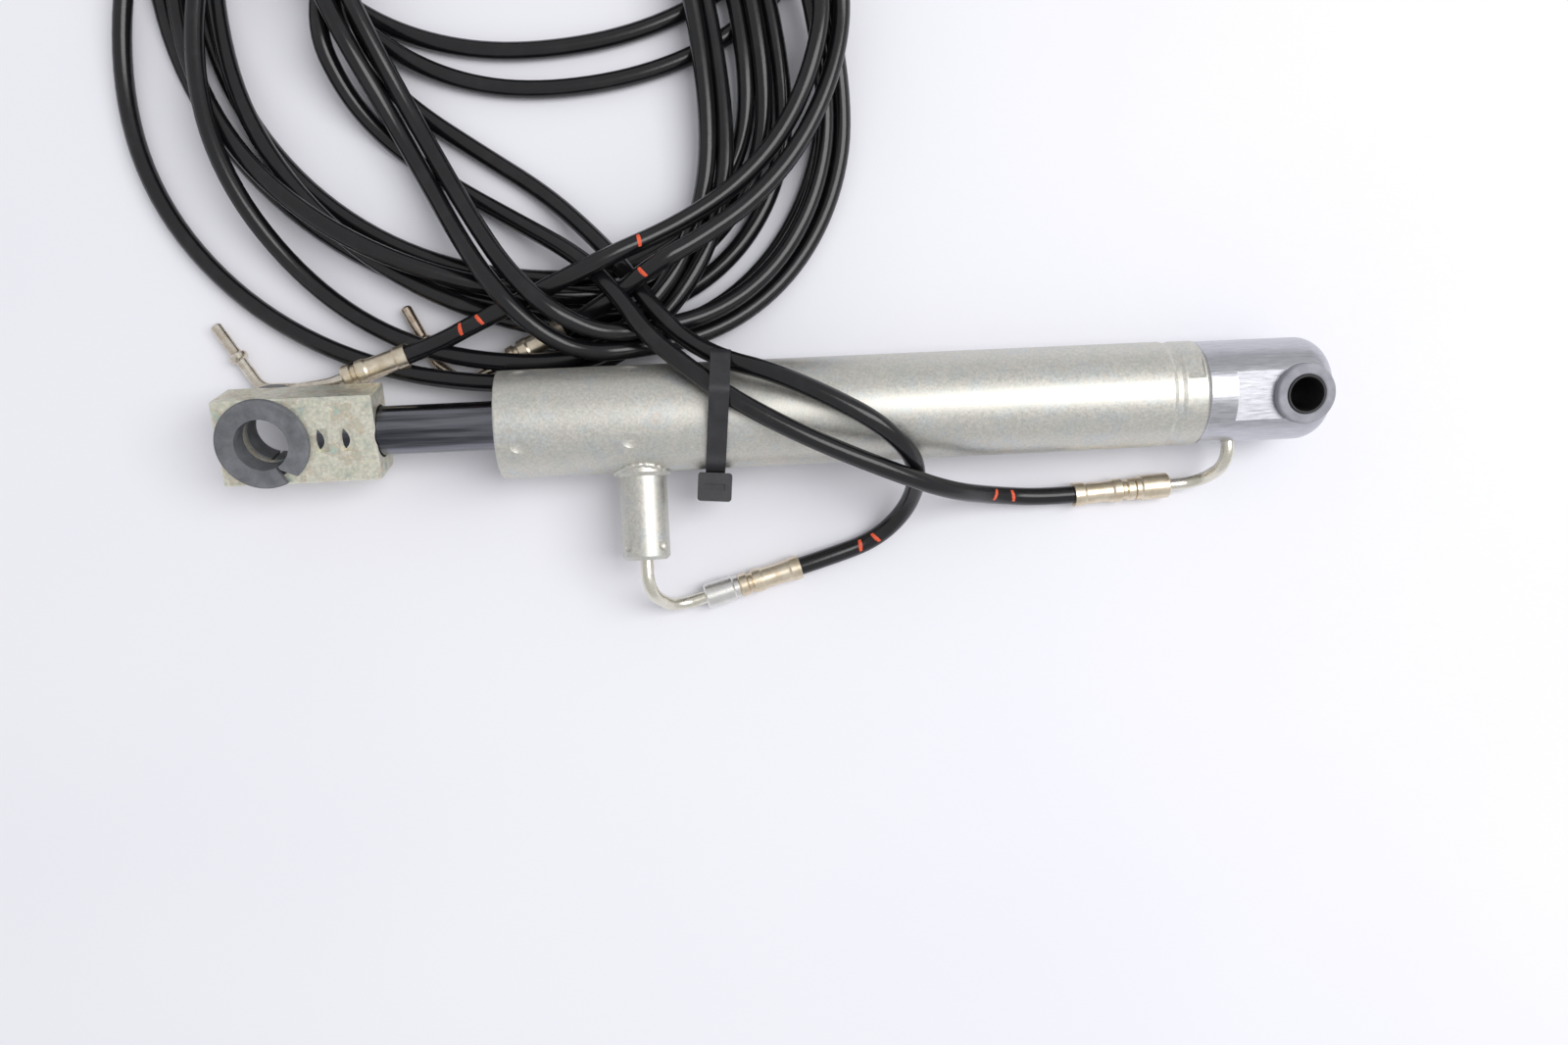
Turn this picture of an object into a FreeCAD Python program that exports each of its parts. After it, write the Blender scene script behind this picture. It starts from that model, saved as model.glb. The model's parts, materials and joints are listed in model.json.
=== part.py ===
import FreeCAD, Part
import math
import os

from FreeCAD import Vector

# A double-acting hydraulic linear actuator: a crimped steel barrel with an aluminium end cap,
# a rod with an eye block, and two microbore hoses that end in beaded nozzles.
# Millimetres. The origin is the middle of the cap eye's bore, +X runs from the rod eye to the
# cap eye, +Z is up. The barrel lies flat, on the nylon tie that goes round it.

# ---- driving dimensions ----
BARREL_R = 13.25            # outside of the barrel tube
BORE_R = 11.25              # inside of the barrel tube
ROD_R = 6.0
GLAND_X = -197.5            # open end of the barrel, where the rod comes out
SEAM_X = -24.0              # where the barrel meets the end cap
ROD_EYE_X = -252.5          # rod eye, with the rod fully in
STROKE = 100.0
SLIP = 0.03                 # radial clearance of a running fit
SNUG = 0.05                 # radial clearance of a part that sits still in its seat

STRAP_T = 1.2               # thickness of the tie under the barrel
FLOOR_Z = -BARREL_R - STRAP_T

CAP_ROLL = 12.0             # the cap eye is rolled about the barrel by this many degrees
BLOCK_ROLL = 20.0           # and the rod eye by this many

CAP_R = 12.9
CAP_END_X = 9.6
CAP_CORNER_R = 7.3
CAP_FLAT_Z = 11.4           # half of the thickness across the cap's milled flats
CAP_FLAT_X = -17.0
SPIGOT_X = -36.0            # inner end of the cap's spigot
CAP_BUSH_R = 7.45
CAP_LINER_R = 4.8
CAP_BORE_R = 4.2
CAP_BUSH_LENGTH = 27.0

BLOCK_END_X = ROD_EYE_X - 10.9
BLOCK_FACE_X = -226.1
BLOCK_WIDTH = 21.0
BLOCK_THICK = 13.0
EYE_SEAT_R = 8.8
EYE_BORE_R = 6.25
EYE_WEB_R = 6.6             # bore of the web between the two half-bushes
EYE_WEB_T = 3.0
EYE_FLANGE_R = 10.9
EYE_FLANGE_T = 1.8
MARKS_X = (-238.8, -232.8)  # chisel marks across the block, over the rod's end
MARK_WIDTH = 3.2
MARK_LENGTH = 5.8
MARK_DEPTH = 1.0
ROD_END_X = -241.0          # the rod is staked into the block as far as this

GUIDE_FACE_X = GLAND_X + 0.7
GUIDE_NOSE_X = -158.0
PISTON_X = GUIDE_NOSE_X + STROKE + 2.0
PISTON_LENGTH = 13.0
PISTON_R = 11.1
STUB_R = 4.0
NUT_T = 5.5

GALLERY = (-167.6, -161.6, 9.8)             # oil gallery round the guide: x from, x to, floor radius
CRIMP_GROOVE = (-193.2, -190.2, 10.4)       # groove that the outer ring of dents presses into
MOUTH_R = 7.4                               # bore of the guide's inner end, round the rod

DIMPLE_RINGS = (-191.7, -165.3)
DIMPLE_ROLL = 28.0
DIMPLE_R = 2.2
DIMPLE_DEPTH = 0.6

PORT_X = -163.6
NIPPLE_R = 5.9
NIPPLE_END_Y = -34.9
CAP_PORT_X = -15.0
PIPE_R = 1.6
TAIL_PIPE_R = 1.4
OIL_WAY_R = 1.0

HOSE_R = 2.3
SLEEVE_R = 3.1
SLEEVE_LENGTH = 16.5
COLLAR_R = 3.3
COLLAR_LENGTH = 9.0

TIE_X = -144.3
TIE_SLANT = 5.3
STRAP_WIDTH = 4.8

# ---- seats shared by a ring and the part that holds it: (x from, x to, radius) ----
WIPER = (GUIDE_FACE_X, GUIDE_FACE_X + 4.8, 8.6)
SEAL = (-188.0, -183.4, 8.8)
BEARING = (-181.0, -169.4, 7.5)
GUIDE_O_RING = (-178.0, -175.6, 9.6)
CAP_O_RING = (-31.6, -29.2, 9.6)
PISTON_SEAL = (PISTON_X + 2.5, PISTON_X + 6.5, 8.6)
WEAR_RING = (PISTON_X + 8.6, PISTON_X + 11.4, 9.6)

# ---- routes, each a list of points chosen by hand ----
LAID_Z = FLOOR_Z + HOSE_R   # middle of a hose that lies on the floor
CRIMP_Z = FLOOR_Z + COLLAR_R

ROD_PORT_PIPE = [(PORT_X, -23.0, 0), (PORT_X, -43.0, 0), (-157.8, -47.76, CRIMP_Z),
                 (-148.0, -45.18, CRIMP_Z)]
ROD_PORT_FITTING = [(-149.6, -45.6, CRIMP_Z), (-124.9, -39.1, CRIMP_Z)]
CAP_PORT_PIPE = [(CAP_PORT_X, -8.5, 0), (CAP_PORT_X, -18.5, 0), (-18.5, -22.58, CRIMP_Z),
                 (-28.5, -23.09, CRIMP_Z)]
CAP_PORT_FITTING = [(-26.8, -23.0, CRIMP_Z), (-52.3, -24.3, CRIMP_Z)]
TAIL_A_FITTING = [(-236.5, 14.0, -6.7), (-221.2, 18.9, -6.9)]
TAIL_A_PIPE = [(-234.5, 14.64, -6.73), (-240.0, 12.88, -6.65), (-248.8, 12.4, -10.0),
               (-258.4, 13.0, LAID_Z), (-269.0, 29.4, LAID_Z)]
TAIL_B_FITTING = [(-196.0, 17.2, -9.0), (-180.6, 24.5, -6.0)]
TAIL_B_PIPE = [(-194.2, 18.05, -8.65), (-207.6, 11.7, -11.3), (-214.6, 17.4, LAID_Z),
               (-221.8, 32.0, LAID_Z)]

ROD_PORT_LEAD = [(-133.0, -41.23, CRIMP_Z), (-117.5, -37.15, CRIMP_Z), (-102.5, -32.4, LAID_Z),
                 (-93.5, -23.4, -5.0), (-93.0, -14.0, 9.0), (-103.0, -5.2, 18.4),
                 (-119.0, 3.4, 18.2),
                 (-132.0, 8.6, 15.7), (-142.5, 12.1, 12.4), (-152.0, 18.8, 4.5),
                 (-158.6, 26.4, -5.5), (-164.3, 35.8, -11.5), (-173.0, 47.0, LAID_Z),
                 (-185.0, 59.5, LAID_Z), (-201.0, 70.5, LAID_Z), (-216.5, 81.5, LAID_Z),
                 (-228.5, 97.0, LAID_Z), (-232.0, 104.0, LAID_Z)]
CAP_PORT_LEAD = [(-44.5, -23.9, CRIMP_Z), (-59.0, -24.64, CRIMP_Z), (-74.0, -23.4, -8.0),
                 (-89.0, -21.8, 7.0), (-105.0, -16.0, 14.2), (-121.0, -9.0, 16.8),
                 (-134.0, -2.0, 16.9), (-144.0, 4.6, 15.9), (-152.5, 12.0, 11.5),
                 (-160.5, 19.6, 1.0), (-169.0, 28.6, -9.6), (-178.5, 41.0, LAID_Z),
                 (-192.0, 52.0, LAID_Z), (-208.0, 62.0, LAID_Z), (-223.5, 73.5, LAID_Z),
                 (-234.5, 88.0, LAID_Z), (-238.5, 101.0, LAID_Z)]
TAIL_A = [(-112.5, 104.0, -2.5), (-115.5, 87.0, 0.0), (-123.5, 70.5, 0.0), (-136.0, 57.0, 0.0),
          (-152.0, 47.0, 0.0), (-170.0, 39.0, -0.5), (-188.0, 31.5, -2.5), (-203.0, 25.5, -5.2),
          (-214.3, 21.1, -7.0), (-229.2, 16.34, -6.8)]
TAIL_B = [(-106.5, 104.0, -2.5), (-109.0, 85.0, 0.0), (-116.0, 67.0, 0.0), (-127.5, 53.0, 0.0),
          (-142.0, 43.0, 0.0), (-157.0, 35.2, -1.0), (-172.4, 28.39, -4.41),
          (-189.0, 20.52, -7.64)]

COIL_CENTRE = (-197.0, 103.0)
COIL_OUTER = (92.0, 88.0)
COIL_INNER = (34.0, 32.0)
COIL_HEIGHT = 11.0


# ---- small helpers ----
def vec(point):
    return Vector(*point)


def rolled(shape, degrees):
    """Turn a shape about the barrel's axis, from +Y towards +Z."""
    shape.rotate(Vector(0, 0, 0), Vector(1, 0, 0), degrees)
    return shape


def rod_along_x(x_from, x_to, radius):
    return Part.makeCylinder(radius, x_to - x_from, Vector(x_from, 0, 0), Vector(1, 0, 0))


def ring(x_from, x_to, outer, inner):
    return rod_along_x(x_from, x_to, outer).cut(rod_along_x(x_from, x_to, inner))


def pin_along_z(x, z_from, z_to, radius):
    return Part.makeCylinder(radius, z_to - z_from, Vector(x, 0, z_from), Vector(0, 0, 1))


def block(x_from, x_to, width, z_from, z_to):
    corner = Vector(x_from, -width / 2, z_from)
    return Part.makeBox(x_to - x_from, width, z_to - z_from, corner)


def turned(profile):
    """Solid of revolution about X, from an outline of (x, radius) points."""
    points = [Vector(x, radius, 0) for x, radius in profile]
    face = Part.Face(Part.makePolygon(points + points[:1]))
    return face.revolve(Vector(0, 0, 0), Vector(1, 0, 0), 360)


def placed(shape, start, end):
    """Move a shape made along +X from the origin onto the line from start to end."""
    direction = vec(end) - vec(start)
    turn = FreeCAD.Rotation(Vector(1, 0, 0), direction)
    shape.Placement = FreeCAD.Placement(vec(start), turn).multiply(shape.Placement)
    return shape


def round_edges(shape, radius, x=None, z=None):
    """Round the circular edges whose centre lies at this x or this z."""
    chosen = []
    for edge in shape.Edges:
        if not isinstance(edge.Curve, Part.Circle):
            continue
        centre = edge.Curve.Center
        if x is not None and abs(centre.x - x) < 0.01:
            chosen.append(edge)
        if z is not None and abs(centre.z - z) < 0.01:
            chosen.append(edge)
    return shape.makeFillet(radius, chosen)


def bent_path(points, bend=None):
    """Straight runs joined by tangent arcs. Without a bend radius each arc is as large as its
    runs allow. Gives the wire and the list of arc radii."""
    points = [vec(point) for point in points]
    edges = []
    radii = []
    start = points[0]
    for before, corner, after in zip(points, points[1:], points[2:]):
        back = before - corner
        ahead = after - corner
        shorter = min(back.Length, ahead.Length)
        back.normalize()
        ahead.normalize()
        half_turn = (math.pi - back.getAngle(ahead)) / 2
        radius = bend or 0.45 * shorter / math.tan(half_turn)
        reach = radius * math.tan(half_turn)
        inward = (back + ahead).normalize()
        middle = corner + inward * (math.hypot(radius, reach) - radius)
        arc_from = corner + back * reach
        arc_to = corner + ahead * reach
        edges.append(Part.LineSegment(start, arc_from).toShape())
        edges.append(Part.Arc(arc_from, middle, arc_to).toShape())
        radii.append(radius)
        start = arc_to
    edges.append(Part.LineSegment(start, points[-1]).toShape())
    return Part.Wire(edges), radii


def tube_along(points, radius, bend=None):
    path, radii = bent_path(points, bend)
    start = vec(points[0])
    section = Part.Wire(Part.Circle(start, vec(points[1]) - start, radius).toShape())
    tube = path.makePipeShell([section], True, False)
    return tube, path.Length, radii


# ---- barrel and its ends ----
def barrel_tube():
    """Steel tube, rolled in a little where it grips the cap, with two rings of crimp dents."""
    grip_x = SEAM_X - 8.0
    tube = turned([(GLAND_X, BORE_R), (GLAND_X, BARREL_R), (grip_x - 1.0, BARREL_R),
                   (grip_x, BARREL_R - 0.35), (grip_x + 1.2, BARREL_R - 0.35),
                   (grip_x + 2.2, BARREL_R - 0.1), (SEAM_X - 0.6, BARREL_R - 0.1),
                   (SEAM_X, BARREL_R - 0.6), (SEAM_X, BORE_R)])
    tube = round_edges(tube, 0.6, x=GLAND_X)
    ball_r = (DIMPLE_R ** 2 + DIMPLE_DEPTH ** 2) / (2 * DIMPLE_DEPTH)
    for x in DIMPLE_RINGS:
        for quarter in range(4):
            ball = Part.makeSphere(ball_r, Vector(x, 0, BARREL_R + ball_r - DIMPLE_DEPTH))
            tube = tube.cut(rolled(ball, DIMPLE_ROLL + 90 * quarter))
    stake = block(SEAM_X - 5.4, SEAM_X - 1.0, 7.0, BARREL_R - 0.45, BARREL_R + 1)
    tube = tube.cut(rolled(stake, -CAP_ROLL - 12))
    way = Part.makeCylinder(OIL_WAY_R, BARREL_R, Vector(PORT_X, 0, 0), Vector(0, -1, 0))
    return tube.cut(way)


def rod_guide():
    """Gland bush inside the barrel's open end: seats for the wiper, seal and bearing."""
    guide = rod_along_x(GUIDE_FACE_X, GUIDE_NOSE_X, BORE_R - SNUG)
    guide = guide.cut(rod_along_x(GUIDE_FACE_X, GUIDE_NOSE_X, ROD_R + 2 * SLIP))
    for x_from, x_to, seat_r in ((GUIDE_FACE_X, WIPER[1], WIPER[2]), SEAL, BEARING,
                                 (GALLERY[0], GUIDE_NOSE_X, MOUTH_R)):
        guide = guide.cut(rod_along_x(x_from, x_to, seat_r))
    for x_from, x_to, floor_r in (CRIMP_GROOVE, GUIDE_O_RING, GALLERY):
        guide = guide.cut(ring(x_from, x_to, BORE_R + 1, floor_r))
    for quarter in range(4):
        way = Part.makeCylinder(1.5, BORE_R, Vector(PORT_X - 1, 0, 0), Vector(0, 0, 1))
        guide = guide.cut(rolled(way, 90 * quarter))
    return guide


def seated_ring(seat):
    """Ring that fills a seat cut in the guide and runs on the rod."""
    x_from, x_to, seat_r = seat
    return ring(x_from + 0.1, x_to - 0.1, seat_r - SNUG, ROD_R + SLIP)


def o_ring(groove):
    """Ring of round section in an outside groove."""
    x_from, x_to, floor_r = groove
    section_r = (BORE_R - SNUG - floor_r) / 2
    x = (x_from + x_to) / 2
    return Part.makeTorus(floor_r + section_r, section_r, Vector(x, 0, 0), Vector(1, 0, 0))


def end_cap():
    """Aluminium cap: turned with a rounded end, then milled flat on two sides, with a spigot
    in the barrel and the eye's seat."""
    cap = turned([(SEAM_X, 0), (SEAM_X, CAP_R - 0.4), (SEAM_X + 0.4, CAP_R),
                  (CAP_END_X, CAP_R), (CAP_END_X, 0)])
    cap = round_edges(cap, CAP_CORNER_R, x=CAP_END_X)
    for z_from, z_to in ((CAP_FLAT_Z, CAP_R + 1), (-CAP_R - 1, -CAP_FLAT_Z)):
        cap = cap.cut(block(CAP_FLAT_X, CAP_END_X + 1, 2 * CAP_R, z_from, z_to))
    cap = cap.cut(pin_along_z(0, -CAP_R, CAP_R, CAP_BUSH_R))
    cap = rolled(cap, CAP_ROLL)
    spigot = rod_along_x(SPIGOT_X, SEAM_X, BORE_R - SNUG)
    spigot = spigot.cut(ring(CAP_O_RING[0], CAP_O_RING[1], BORE_R, CAP_O_RING[2]))
    cap = cap.fuse(spigot).removeSplitter()
    way = rod_along_x(SPIGOT_X, CAP_PORT_X, OIL_WAY_R)
    side_way = Part.makeCylinder(OIL_WAY_R, CAP_R, Vector(CAP_PORT_X, 0, 0), Vector(0, -1, 0))
    socket = Part.makeCylinder(PIPE_R + SNUG, CAP_R, Vector(CAP_PORT_X, -8.4, 0),
                               Vector(0, -1, 0))
    return cap.cut(way).cut(side_way).cut(socket)


def eye_tube(outer, inner):
    """Tube in the cap's eye, with its rims rounded."""
    half = CAP_BUSH_LENGTH / 2
    tube = pin_along_z(0, -half, half, outer).cut(pin_along_z(0, -half, half, inner))
    rim = min(0.6, 0.3 * (outer - inner))
    tube = round_edges(tube, rim, z=half)
    tube = round_edges(tube, rim, z=-half)
    return rolled(tube, CAP_ROLL)


# ---- ports, pipes and hose fittings ----
def port_nipple():
    """Steel stub welded to the barrel's side. Four punch marks hold the pipe in its mouth."""
    weld_y = -BARREL_R - 0.2
    outline = [(0, 0), (0, NIPPLE_R + 0.7), (-weld_y, NIPPLE_R + 0.7), (-weld_y + 0.9, NIPPLE_R),
               (-NIPPLE_END_Y - 0.9, NIPPLE_R), (-NIPPLE_END_Y, NIPPLE_R - 0.9),
               (-NIPPLE_END_Y, 0)]
    stub = turned(outline)
    for eighth in (45, 135, 225, 315):
        dent = Part.makeSphere(1.5, Vector(-NIPPLE_END_Y - 3.3, 0, NIPPLE_R + 0.9))
        stub = stub.cut(rolled(dent, eighth))
    stub = placed(stub, (PORT_X, 0, 0), (PORT_X, -1, 0))
    stub = stub.cut(rod_along_x(PORT_X - 20, PORT_X + 20, BARREL_R))
    way = Part.makeCylinder(OIL_WAY_R, 40, Vector(PORT_X, 0, 0), Vector(0, -1, 0))
    socket = Part.makeCylinder(PIPE_R + SNUG, 20, Vector(PORT_X, -22.9, 0), Vector(0, -1, 0))
    return stub.cut(way).cut(socket)


def hose_collar(line):
    """Steel collar brazed to the pipe, at the start of a fitting's line."""
    collar = turned([(0, PIPE_R + SNUG), (0, COLLAR_R - 0.5), (0.5, COLLAR_R),
                     (COLLAR_LENGTH - 1.6, COLLAR_R), (COLLAR_LENGTH - 1.2, COLLAR_R - 0.4),
                     (COLLAR_LENGTH, COLLAR_R - 0.4), (COLLAR_LENGTH, PIPE_R + SNUG)])
    return placed(collar, *line)


def crimp_sleeve(line, offset, pipe_r):
    """Sleeve crimped on the hose: a groove, a bead, and the waisted length that grips it."""
    grip_r = SLEEVE_R - 0.3
    outline = [(0, pipe_r + SNUG), (0, 2.6), (0.5, SLEEVE_R - 0.15), (2.2, SLEEVE_R - 0.15),
               (2.6, 2.45), (3.4, 2.45), (3.9, SLEEVE_R), (5.9, SLEEVE_R), (6.5, grip_r),
               (9.5, grip_r - 0.1), (13.4, grip_r), (14.0, SLEEVE_R - 0.05),
               (SLEEVE_LENGTH, SLEEVE_R), (SLEEVE_LENGTH, HOSE_R + SNUG),
               (7.0, HOSE_R + SNUG), (7.0, pipe_r + SNUG)]
    sleeve = turned([(offset + x, radius) for x, radius in outline])
    return placed(sleeve, *line)


def port_pipe(route):
    pipe, _, _ = tube_along(route, PIPE_R, 7.0)
    return pipe


def tail_pipe(route):
    """Bent pipe with a bead and a rounded nozzle that plugs into the pump block."""
    pipe, _, _ = tube_along(route, TAIL_PIPE_R, 5.5)
    nozzle = turned([(0.0, 0.7), (0.0, TAIL_PIPE_R - 0.3), (0.4, TAIL_PIPE_R),
                     (8.6, TAIL_PIPE_R), (9.0, 2.0), (9.4, 2.3), (10.2, 2.3), (10.6, 2.0),
                     (11.0, TAIL_PIPE_R), (11.0, 0.7)])
    nozzle = placed(nozzle, route[-1], route[-2])
    tip_to_bead = placed(rod_along_x(-1, 11.0, 3.0), route[-1], route[-2])
    return pipe.cut(tip_to_bead).fuse(nozzle)


# ---- rod, piston and rod eye ----
def rod():
    """Rod staked into the eye block, with a threaded stub through the piston."""
    stub_end = PISTON_X + PISTON_LENGTH + NUT_T + 0.8
    return turned([(ROD_END_X, 0), (ROD_END_X, ROD_R - 0.6), (ROD_END_X + 0.6, ROD_R),
                   (PISTON_X, ROD_R), (PISTON_X, STUB_R), (stub_end - 0.6, STUB_R),
                   (stub_end, STUB_R - 0.6), (stub_end, 0)])


def piston():
    body = ring(PISTON_X, PISTON_X + PISTON_LENGTH, PISTON_R, STUB_R + SNUG)
    for x_from, x_to, floor_r in (PISTON_SEAL, WEAR_RING):
        body = body.cut(ring(x_from, x_to, BORE_R, floor_r))
    return body


def piston_ring(groove):
    """Ring in a piston groove. It runs on the bore and slides with the piston."""
    x_from, x_to, floor_r = groove
    return ring(x_from + 0.1, x_to - 0.1, BORE_R - SLIP, floor_r + SLIP)


def piston_nut():
    x = PISTON_X + PISTON_LENGTH
    corners = [Vector(x, 7.5 * math.cos(math.radians(angle)), 7.5 * math.sin(math.radians(angle)))
               for angle in range(0, 360, 60)]
    nut = Part.Face(Part.makePolygon(corners + corners[:1])).extrude(Vector(NUT_T, 0, 0))
    return nut.cut(rod_along_x(x, x + NUT_T, STUB_R + SNUG))


def rod_eye_block():
    """Steel block with the eye's seat, the rod's hole and two pairs of punch marks."""
    half = BLOCK_THICK / 2
    body = block(BLOCK_END_X, BLOCK_FACE_X, BLOCK_WIDTH, -half, half)
    body = body.makeChamfer(0.35, body.Edges)
    body = body.cut(pin_along_z(ROD_EYE_X, -half, half, EYE_WEB_R))
    for z_from, z_to in ((EYE_WEB_T / 2, half), (-half, -EYE_WEB_T / 2)):
        body = body.cut(pin_along_z(ROD_EYE_X, z_from, z_to, EYE_SEAT_R))
    body = body.cut(rod_along_x(ROD_END_X - 0.2, BLOCK_FACE_X, ROD_R + SNUG))
    body = body.cut(rod_along_x(BLOCK_FACE_X - 2.5, BLOCK_FACE_X, ROD_R + 0.45))
    for x in MARKS_X:
        for side in (1, -1):
            outline = [Vector(x - MARK_WIDTH / 2, -MARK_LENGTH / 2, side * half),
                       Vector(x - 0.3 * MARK_WIDTH, -MARK_LENGTH / 2, side * (half - MARK_DEPTH)),
                       Vector(x + MARK_WIDTH / 2, -MARK_LENGTH / 2, side * half)]
            mark = Part.Face(Part.makePolygon(outline + outline[:1]))
            body = body.cut(mark.extrude(Vector(0, MARK_LENGTH, 0)))
    return rolled(body, BLOCK_ROLL)


def rod_eye_bush(side, slit_angle):
    """Flanged rubber half-bush, pressed into one side of the eye. Its slit gapes at the flange."""
    face = BLOCK_THICK / 2
    bush = pin_along_z(ROD_EYE_X, EYE_WEB_T / 2 + SNUG, face, EYE_SEAT_R - SNUG)
    flange = pin_along_z(ROD_EYE_X, face, face + EYE_FLANGE_T, EYE_FLANGE_R)
    flange = round_edges(flange, 0.6, z=face + EYE_FLANGE_T)
    bush = bush.fuse(flange).cut(pin_along_z(ROD_EYE_X, 0, face + EYE_FLANGE_T, EYE_BORE_R))
    slit = Part.makeBox(EYE_FLANGE_R + 1, 0.7, 2 * face, Vector(ROD_EYE_X, -0.35, 0))
    gape = [Vector(ROD_EYE_X + EYE_BORE_R, -0.3, face), Vector(ROD_EYE_X + 12, -0.3, face),
            Vector(ROD_EYE_X + 12, 4.2, face)]
    gape = Part.Face(Part.makePolygon(gape + gape[:1])).extrude(Vector(0, 0, 2 * EYE_FLANGE_T))
    opening = slit.fuse(gape)
    opening.rotate(Vector(ROD_EYE_X, 0, 0), Vector(0, 0, 1), slit_angle)
    bush = bush.cut(opening)
    if side < 0:
        bush.rotate(Vector(ROD_EYE_X, 0, 0), Vector(1, 0, 0), 180)
    return rolled(bush, BLOCK_ROLL)


# ---- nylon tie ----
def belt_face(circles, offset):
    """Face inside a belt stretched round circles of (y, z, radius), which run anticlockwise."""
    tangents = []
    for (y1, z1, r1), (y2, z2, r2) in zip(circles, circles[1:] + circles[:1]):
        gap = math.hypot(y2 - y1, z2 - z1)
        heading = math.atan2(z2 - z1, y2 - y1)
        outward = heading - math.acos((r1 - r2) / gap)
        tangents.append(outward)
    edges = []
    for index, (y, z, radius) in enumerate(circles):
        radius += offset
        start = tangents[index - 1]
        end = tangents[index]
        while end < start:
            end += 2 * math.pi
        arc = [Vector(TIE_X, y + radius * math.cos(a), z + radius * math.sin(a))
               for a in (start, (start + end) / 2, end)]
        edges.append(Part.Arc(*arc).toShape())
    joined = []
    for arc, following in zip(edges, edges[1:] + edges[:1]):
        joined.append(arc)
        ends = (arc.lastVertex().Point, following.firstVertex().Point)
        joined.append(Part.LineSegment(*ends).toShape())
    return Part.Face(Part.Wire(Part.__sortEdges__(joined)))


def slanted(shape):
    shape.rotate(Vector(TIE_X, 0, 0), Vector(0, 0, 1), -TIE_SLANT)
    return shape


def tie_strap():
    """Flat strap round the barrel and the two hoses that lie on its shoulder."""
    circles = [(0, 0, BARREL_R), (11.0, 12.0, HOSE_R + 0.2), (4.6, 15.9, HOSE_R + 0.2)]
    band = belt_face(circles, STRAP_T).cut(belt_face(circles, 0.08))
    strap = band.extrude(Vector(STRAP_WIDTH, 0, 0))
    strap.translate(Vector(-STRAP_WIDTH / 2, 0, 0))
    return slanted(strap)


def tie_head():
    """Locking head of the tie, on the barrel's near side, with the strap's cut end in its slot."""
    inner_y = -BARREL_R - STRAP_T
    head = Part.makeBox(8.4, 7.0, 5.6, Vector(TIE_X - 4.2, inner_y - 7.0, -2.8))
    upright = [edge for edge in head.Edges if abs(edge.CenterOfMass.z) < 0.01]
    head = head.makeFillet(0.8, upright)
    for z in (2.4, -3.0):
        corner = Vector(TIE_X - STRAP_WIDTH / 2 - 0.15, inner_y - 4.3, z)
        head = head.cut(Part.makeBox(STRAP_WIDTH + 0.3, 1.5, 0.6, corner))
    return slanted(head)


# ---- hoses ----
def hose(name, route):
    tube, length, radii = tube_along(route, HOSE_R)
    section = math.pi * HOSE_R ** 2
    print(name, "length %.0f" % length, "volume ratio %.4f" % (tube.Volume / (section * length)),
          "radii", [round(radius) for radius in radii])
    return tube


def hose_coil():
    """Outer shape of the loose coil that both hoses are wound into."""
    outlines = []
    for across, along in (COIL_OUTER, COIL_INNER):
        centre = Vector(COIL_CENTRE[0], COIL_CENTRE[1], FLOOR_Z)
        oval = Part.Ellipse(centre, across, along).toShape()
        outlines.append(Part.Face(Part.Wire(oval)).extrude(Vector(0, 0, COIL_HEIGHT)))
    return outlines[0].cut(outlines[1])


def build():
    return {
        "barrel_tube": barrel_tube(),
        "rod_guide": rod_guide(),
        "rod_wiper": seated_ring(WIPER),
        "rod_seal": seated_ring(SEAL),
        "guide_bearing": seated_ring(BEARING),
        "guide_o_ring": o_ring(GUIDE_O_RING),
        "end_cap": end_cap(),
        "cap_o_ring": o_ring(CAP_O_RING),
        "cap_eye_bush": eye_tube(CAP_BUSH_R - SNUG, CAP_LINER_R + SNUG),
        "cap_eye_liner": eye_tube(CAP_LINER_R, CAP_BORE_R),
        "port_nipple": port_nipple(),
        "rod_port_pipe": port_pipe(ROD_PORT_PIPE),
        "rod_port_collar": hose_collar(ROD_PORT_FITTING),
        "rod_port_sleeve": crimp_sleeve(ROD_PORT_FITTING, COLLAR_LENGTH, PIPE_R),
        "cap_port_pipe": port_pipe(CAP_PORT_PIPE),
        "cap_port_collar": hose_collar(CAP_PORT_FITTING),
        "cap_port_sleeve": crimp_sleeve(CAP_PORT_FITTING, COLLAR_LENGTH, PIPE_R),
        "tail_a_sleeve": crimp_sleeve(TAIL_A_FITTING, 0, TAIL_PIPE_R),
        "tail_a_pipe": tail_pipe(TAIL_A_PIPE),
        "tail_b_sleeve": crimp_sleeve(TAIL_B_FITTING, 0, TAIL_PIPE_R),
        "tail_b_pipe": tail_pipe(TAIL_B_PIPE),
        "rod": rod(),
        "piston": piston(),
        "piston_seal": piston_ring(PISTON_SEAL),
        "piston_wear_ring": piston_ring(WEAR_RING),
        "piston_nut": piston_nut(),
        "rod_eye_block": rod_eye_block(),
        "rod_eye_bush_upper": rod_eye_bush(1, -64),
        "rod_eye_bush_lower": rod_eye_bush(-1, 100),
        "tie_strap": tie_strap(),
        "tie_head": tie_head(),
        "rod_port_hose": hose("rod_port_hose", ROD_PORT_LEAD),
        "cap_port_hose": hose("cap_port_hose", CAP_PORT_LEAD),
        "hose_coil": hose_coil(),
        "tail_a_hose": hose("tail_a_hose", TAIL_A),
        "tail_b_hose": hose("tail_b_hose", TAIL_B),
    }


os.makedirs("parts", exist_ok=True)
for node, shape in build().items():
    print(node, "valid" if shape.isValid() else "INVALID", "solids", len(shape.Solids),
          "volume %.1f" % shape.Volume)
    shape.exportStep("parts/%s.step" % node)
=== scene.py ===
import json
import math

import bmesh
import bpy
import numpy as np
from mathutils import Matrix, Vector


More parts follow.
